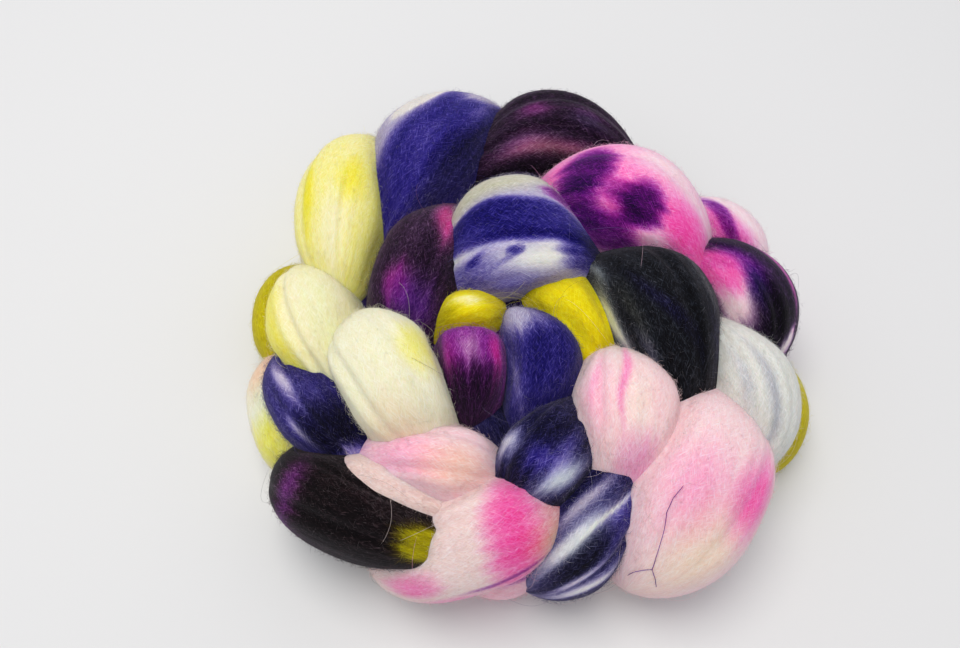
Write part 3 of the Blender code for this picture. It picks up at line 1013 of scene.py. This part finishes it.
face = {fact: np.concatenate([facts[fact] for facts in showing]) for fact in showing[0]}
open_faces = (face["clear"] > HIDDEN) & (face["center"][:, 2] > UNDERNEATH * MM)
by_a_crease = face["clear"] < CREASE_EDGE
chances = face["area"][:, 0] * open_faces * (1 + MORE_BY_A_CREASE * by_a_crease)
chances = chances / chances.sum()


def unit(vectors):
    return vectors / np.maximum(np.linalg.norm(vectors, axis=-1, keepdims=True), 1e-9)


LEAST_HEIGHT = 0.02  # no fibre goes under the table
FIBRE_BAKE_MARGIN = 0.1


def strew(name, bows, roots, bends, tips, thickness, dye, run):
    """Thin three-sided spindles from root to tip as one piece, each bent over its middle."""
    # The corners of one spindle: how far along it, how far round it, and how thick it is there.
    corners = [(0, 0, 0)]
    corners += [(ring / bows, side / 3, 1) for ring in range(1, bows) for side in range(3)]
    corners += [(1, 0, 0)]
    last = len(corners) - 1
    faces = []
    for side in range(3):
        beyond = (side + 1) % 3
        faces.append(((0, 1 + beyond, 1 + side), (side + 0.5, side + 1, side), 0))
        faces.append(((last, last - 3 + side, last - 3 + beyond), (side + 0.5, side, side + 1), 2))
        for ring in range(bows - 2):
            low = 1 + 3 * ring
            square = (low + side, low + beyond, low + 3 + beyond, low + 3 + side)
            faces.append((square, (side, side + 1, side + 1, side), 1))
    corner_of = np.array([corner for around_it, _, _ in faces for corner in around_it])
    first = np.cumsum([0] + [len(around_it) for around_it, _, _ in faces[:-1]])
    flat = np.array(
        [
            (column / 3, corners[corner][0])
            for around_it, columns, _ in faces
            for corner, column in zip(around_it, columns)
        ]
    )
    corners = np.array(corners)

    count = len(roots)
    share = corners[None, :, 0:1]
    line = unit(tips - roots)
    side = unit(np.cross(line, bends - (roots + tips) / 2 + 1e-6))
    other = np.cross(line, side)
    curve = (
        (1 - share) ** 2 * roots[:, None]
        + 2 * share * (1 - share) * bends[:, None]
        + share**2 * tips[:, None]
    )
    girth = (thickness / 2)[:, None, None]
    turn = math.tau * corners[None, :, 1:2]
    round_it = np.cos(turn) * side[:, None] + np.sin(turn) * other[:, None]
    places = curve + girth * corners[None, :, 2:3] * round_it
    places[..., 2] = np.maximum(places[..., 2], LEAST_HEIGHT * MM)

    nap = bpy.data.meshes.new(name)
    nap.vertices.add(count * len(corners))
    nap.vertices.foreach_set("co", places.astype(np.float32).ravel())
    nap.loops.add(count * len(corner_of))
    starts = (np.arange(count) * len(corners))[:, None]
    nap.loops.foreach_set("vertex_index", (corner_of[None] + starts).ravel().astype(np.int32))
    nap.polygons.add(count * len(first))
    starts = (np.arange(count) * len(corner_of))[:, None]
    nap.polygons.foreach_set("loop_start", (first[None] + starts).ravel().astype(np.int32))
    nap.update(calc_edges=True)
    hold_dyes(nap, *(np.repeat(values, len(corners), axis=0) for values in (run, dye)))
    cells = math.ceil(math.sqrt(count))
    squares = np.stack(np.divmod(np.arange(count), cells), axis=-1)[:, None]
    where = flat.reshape(1, -1, 2) * (1 - 2 * FIBRE_BAKE_MARGIN) + FIBRE_BAKE_MARGIN
    where = (where + squares) / cells
    nap.uv_layers.new(name="OFBake").data.foreach_set("uv", where.astype(np.float32).ravel())
    nap.materials.append(combed_wool)
    nap.shade_smooth()
    piece = bpy.data.objects.new(name, nap)
    bpy.context.scene.collection.objects.link(piece)
    return piece


# A fibre end of the nap: how far it veers from its loop's heading, how steeply it stands and how
# far that varies, how long it is, how far it bends aside and arches as shares of that, where its
# root is on its face and how far it is sunk, how thick it is, and how much of the dye it holds.
# It holds less than its face partly because fibre tips take up less dye and partly as a painted
# glint, which makes the nap on dark loops lighter.
NAP_SEED = 29
NAP_VEER = 50
NAP_RISE = 8
RISE_VARIES = 18
LEAST_RISE = 3
LEAST_LENGTH = 0.7
LENGTH_SHAPE, LENGTH_SCALE = 3, 0.45
NAP_BEND = 0.12
NAP_ARCH = (0.05, 0.3)
ROOT_PLACE = (-0.6, 0.6)
ROOT_DEPTH = 0.25
NAP_THICKNESS = (0.7, 1.1)
NAP_DYE_AND_PAINTED_GLINT = (0.45, 1.0)
RUN_SCATTER = (-3, 3)  # how far a fibre's own grain may be from that of the face it stands on


def nap_of(name, count, seed):
    """Short fibre ends that lie mostly along the strand and stand a little out of it."""
    draw = np.random.default_rng([NAP_SEED, seed])
    chosen = draw.choice(len(chances), count, p=chances)
    normal = unit(face["normal"][chosen])
    heading = face["heading"][chosen]
    heading = unit(heading - (heading * normal).sum(-1, keepdims=True) * normal)
    beside = np.cross(normal, heading)
    veer = draw.normal(0, math.radians(NAP_VEER), count) + math.pi * draw.integers(0, 2, count)
    rise = np.abs(draw.normal(NAP_RISE, RISE_VARIES, count)) + LEAST_RISE
    rise = np.radians(rise)[:, None]
    lying = heading * np.cos(veer)[:, None] + beside * np.sin(veer)[:, None]
    growing = lying * np.cos(rise) + normal * np.sin(rise)
    length = draw.gamma(LENGTH_SHAPE, LENGTH_SCALE, count) + LEAST_LENGTH
    length = length * (1 + LONGER_BY_A_CREASE * by_a_crease[chosen])
    length = length[:, None] * MM
    size = np.sqrt(face["area"][chosen])
    jitter = draw.uniform(*ROOT_PLACE, (count, 2))
    roots = face["center"][chosen] + size * (heading * jitter[:, :1] + beside * jitter[:, 1:])
    roots = roots - normal * ROOT_DEPTH * MM
    tips = roots + growing * length
    sway = beside * draw.normal(0, NAP_BEND, (count, 1))
    sway = sway + normal * draw.uniform(*NAP_ARCH, (count, 1))
    bends = (roots + tips) / 2 + sway * length
    thickness = FIBRE_THICKNESS * draw.uniform(*NAP_THICKNESS, count) * MM
    # Less dye than the face: partly paler fibre tips, partly a painted glint.
    dye = face["dye"][chosen] * draw.uniform(*NAP_DYE_AND_PAINTED_GLINT, (count, 1))
    run = face["run"][chosen] + draw.uniform(*RUN_SCATTER, (count, 3))
    return strew(name, 2, roots, bends, tips, thickness, dye, run)


STRAY_SEED = 31
STRAY_FIBRES = 260
STRAY_TRIES = 40  # pairs of places looked at for each fibre, of which few are at a fit distance
STRAY_SPAN = (7, 24)
STRAY_ARCH = 150  # a fibre of this span would arch as high as it is long
STRAY_LIFT = (0.2, 1.2)
STRAY_SWAY = 0.25
STRAY_THICKNESS = (0.7, 1.0)
# Strays hold less dye than their face, partly as paler loose fibres and partly as a painted glint.
STRAY_DYE_AND_PAINTED_GLINT = (0.4, 1.0)


def strays(name, count, seed):
    """Long fibres that have worked loose and bridge from one loop to the next."""
    draw = np.random.default_rng([STRAY_SEED, seed])
    tries = draw.choice(len(chances), (count * STRAY_TRIES, 2), p=chances)
    roots, tips = face["center"][tries[:, 0]], face["center"][tries[:, 1]]
    apart = np.linalg.norm(tips - roots, axis=-1)
    shortest, longest = STRAY_SPAN
    good = np.flatnonzero((apart > shortest * MM) & (apart < longest * MM))[:count]
    roots, tips, apart, chosen = roots[good], tips[good], apart[good, None], tries[good, 0]
    up = unit(face["normal"][tries[good, 0]] + face["normal"][tries[good, 1]])
    over = apart**2 / (STRAY_ARCH * MM) + draw.uniform(*STRAY_LIFT, (len(good), 1)) * MM
    sway = unit(np.cross(tips - roots, up)) * draw.normal(0, STRAY_SWAY, (len(good), 1)) * apart
    bends = (roots + tips) / 2 + up * over * 2 + sway
    thickness = FIBRE_THICKNESS * draw.uniform(*STRAY_THICKNESS, len(good)) * MM
    # Less dye than the face: partly paler fibres, partly a painted glint.
    dye = face["dye"][chosen] * draw.uniform(*STRAY_DYE_AND_PAINTED_GLINT, (len(good), 1))
    run = face["run"][chosen] + draw.uniform(*RUN_SCATTER, (len(good), 3))
    return strew(name, 10, roots, bends, tips, thickness, dye, run)


# A dyed thread that runs over the big pale loop at the front: its route, and where it forks, as
# places along and around the loop.
THREAD_THICKNESS = 0.28
THREAD_HEIGHT = 0.2
THREAD_LAP = 0.12
THREAD_DYE = {"violet": 0.7, "navy": 0.15}
THREAD_ROUTES = (
    ((0.2, -25), (0.31, -27), (0.42, -26), (0.53, -21), (0.64, -17), (0.73, -13), (0.81, -8)),
    ((0.81, -8), (0.85, -16), (0.89, -24), (0.92, -29)),
    ((0.81, -8), (0.84, -1), (0.87, 6), (0.89, 13)),
)


def threads(name, loop, routes, dye):
    """Short spindles end to end, each lapped over the next, which lie along a loop's surface."""
    turned, middle = frame_of_loop(loop)
    ends = []
    for route in routes:
        along, around = np.array(route).T
        legs = [along[:-1], np.radians(around[:-1]), along[1:], np.radians(around[1:])]
        ends.append(np.stack(legs, axis=-1))
    ends = np.concatenate(ends)
    starts, stops = ends[:, :2], ends[:, 2:]
    lap = THREAD_LAP * (stops - starts)
    proud = THREAD_HEIGHT * np.ones(len(ends))
    roots, midway, tips = (
        (form_of_loop(loop, *where.T, proud) @ turned.T + middle) * MM
        for where in (starts - lap, (starts + stops) / 2, stops + lap)
    )
    bends = 2 * midway - (roots + tips) / 2
    thickness = np.full(len(ends), THREAD_THICKNESS * MM)
    amounts = np.tile([dye.get(each, 0.0) for each in DYES], (len(ends), 1))
    return strew(name, 8, roots, bends, tips, thickness, amounts, roots / MM)


loose = [
    nap_of(f"nap_of_fibre_ends_{number + 1}", NAP_FIBRES // NAP_PIECES, number)
    for number in range(NAP_PIECES)
]
loose.append(strays("stray_fibres", STRAY_FIBRES, 0))
big_front_loop = next(loop for loop in OUTER_ROUND if loop.name == "outer_07")
loose.append(threads("dyed_thread", big_front_loop, THREAD_ROUTES, THREAD_DYE))
for piece in loose:
    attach(piece, "root")

# --------------------------------------------------------------------------------------------
# The camera, the floor and the light. The coil lies on a wide sheet of matt pale paper, and is
# looked at from well above, by soft daylight from one big window and from all round.

# Angles are in degrees here too, and lengths that aren't times MM are in metres.
CAMERA_HEIGHT = 62
CAMERA_DISTANCE = 316 * MM
CAMERA_AIM = Vector((-16.93, -6.34, 35)) * MM
CAMERA_FIELD = 60
FLOOR_SIZE = 6
DAYLIGHT = 0.6
WINDOW_SIZE = 0.8
WINDOW_LIGHT = 9.2
WINDOW_PLACE = Vector((-0.2, 0.1, 1.25))
WINDOW_AIM = Vector((0, 0, 0.03))

camera = bpy.data.objects.new("camera", bpy.data.cameras.new("camera"))
bpy.context.scene.collection.objects.link(camera)
height = math.radians(CAMERA_HEIGHT)
camera.location = CAMERA_AIM + CAMERA_DISTANCE * Vector((0, -math.cos(height), math.sin(height)))
camera.rotation_euler = (math.radians(90) - height, 0, 0)
camera.data.sensor_width = 36
camera.data.lens = camera.data.sensor_width / 2 / math.tan(math.radians(CAMERA_FIELD / 2))
camera.data.clip_start = 10 * MM
bpy.context.scene.camera = camera

bpy.ops.object.select_all(action="DESELECT")
bpy.ops.mesh.primitive_plane_add(size=FLOOR_SIZE)
floor = bpy.context.object
floor.name = "floor"
floor_paper = bpy.data.materials.new("pale_paper")
floor_paper.use_nodes = True
paper = floor_paper.node_tree.nodes["Principled BSDF"]
paper.inputs["Base Color"].default_value = (*linear("#E3E3E2"), 1)
paper.inputs["Roughness"].default_value = 0.8
floor.data.materials.append(floor_paper)

world = bpy.data.worlds.new("soft_daylight")
bpy.context.scene.world = world
world.use_nodes = True
sky = world.node_tree.nodes["Background"]
sky.inputs["Color"].default_value = (*linear("#F6F7FF"), 1)
sky.inputs["Strength"].default_value = DAYLIGHT

window = bpy.data.lights.new("window", "AREA")
window.shape = "DISK"
window.size = WINDOW_SIZE
window.energy = WINDOW_LIGHT
window.color = linear("#FFFDF8")
window_held = bpy.data.objects.new("window", window)
bpy.context.scene.collection.objects.link(window_held)
window_held.location = WINDOW_PLACE
window_held.rotation_euler = (WINDOW_AIM - WINDOW_PLACE).to_track_quat("-Z", "Y").to_euler()
bpy.context.scene.view_settings.view_transform = "Standard"
